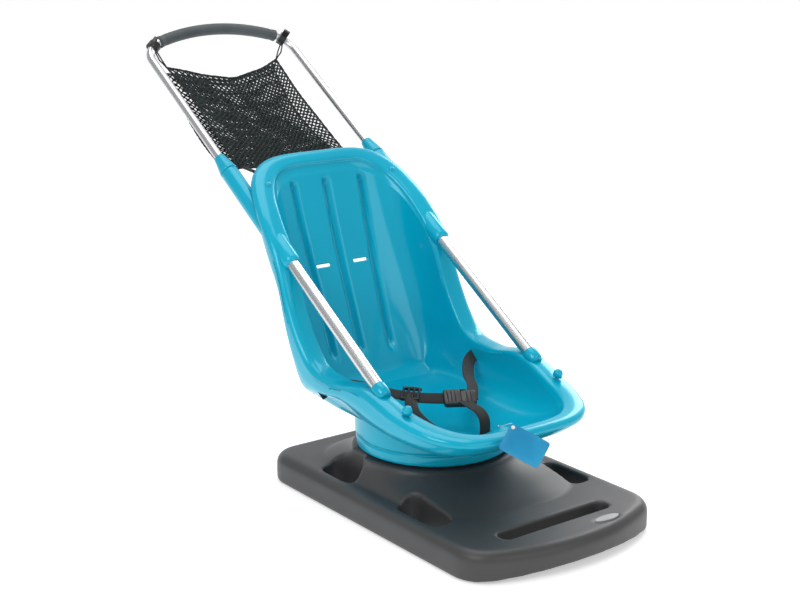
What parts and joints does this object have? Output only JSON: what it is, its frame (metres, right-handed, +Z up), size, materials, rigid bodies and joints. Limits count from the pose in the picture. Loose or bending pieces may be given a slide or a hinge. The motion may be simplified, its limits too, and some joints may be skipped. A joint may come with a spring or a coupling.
{
  "type": "baby sled",
  "caption": "Moulded reclining child seat that turns on a gliding base, with a tube push bar and storage net.",
  "frame": {"origin": "middle of the overall bounding box in plan, at floor level under the runners", "axes": "+Z up; -Y the nose of the base and the way the child faces; +X to the child's left; X is the symmetry axis"},
  "size_m": [0.4433, 1.2215, 0.8425],
  "materials": {
    "base_grey": "satin moulded plastic",
    "plug_grey": "satin",
    "ring_black": "satin",
    "bolt_steel": "zinc plated",
    "seat_cyan": "gloss moulded plastic",
    "cap_cyan": "gloss moulded plastic",
    "tube_aluminium": "bright drawn",
    "grip_grey": "soft grip",
    "clip_black": "satin",
    "net_mesh": "knotted mesh",
    "net_cord": "braided",
    "webbing": "woven webbing",
    "tag_card": "printed card, blank"
  },
  "bodies": {
    "base": {"sled_base": "base_grey", "nose_plug": "plug_grey", "turntable": "ring_black", "pivot_bolt": "bolt_steel", "pivot_nut": "bolt_steel"},
    "seat": {"seat_shell": "seat_cyan", "screw_caps": "cap_cyan", "tube_cap_left": "cap_cyan", "tube_cap_right": "cap_cyan", "side_tube_left": "tube_aluminium", "side_tube_right": "tube_aluminium", "storage_net": "net_mesh", "net_hooks": "clip_black", "lap_belt_left": "webbing", "lap_belt_right": "webbing", "crotch_strap": "webbing", "harness_buckle": "clip_black", "belt_adjuster": "clip_black", "hang_tag": "tag_card"},
    "push_bar": {"push_bar_tube": "tube_aluminium", "hand_grip": "grip_grey", "grip_clip_left": "clip_black", "grip_clip_right": "clip_black", "net_loops": "net_cord"}
  },
  "joints": [
    {"name": "seat_swivel", "type": "hinge", "parent": "base", "child": "seat", "pos_m": [0, -0.18075, 0.102], "axis": [0, 0, 1], "continuous": true},
    {"name": "push_bar_slide", "type": "slide", "parent": "seat", "child": "push_bar", "axis": [0, 0.8415, 0.5402], "range_m": [-0.18, 0], "deforming": ["storage_net"]}
  ]
}
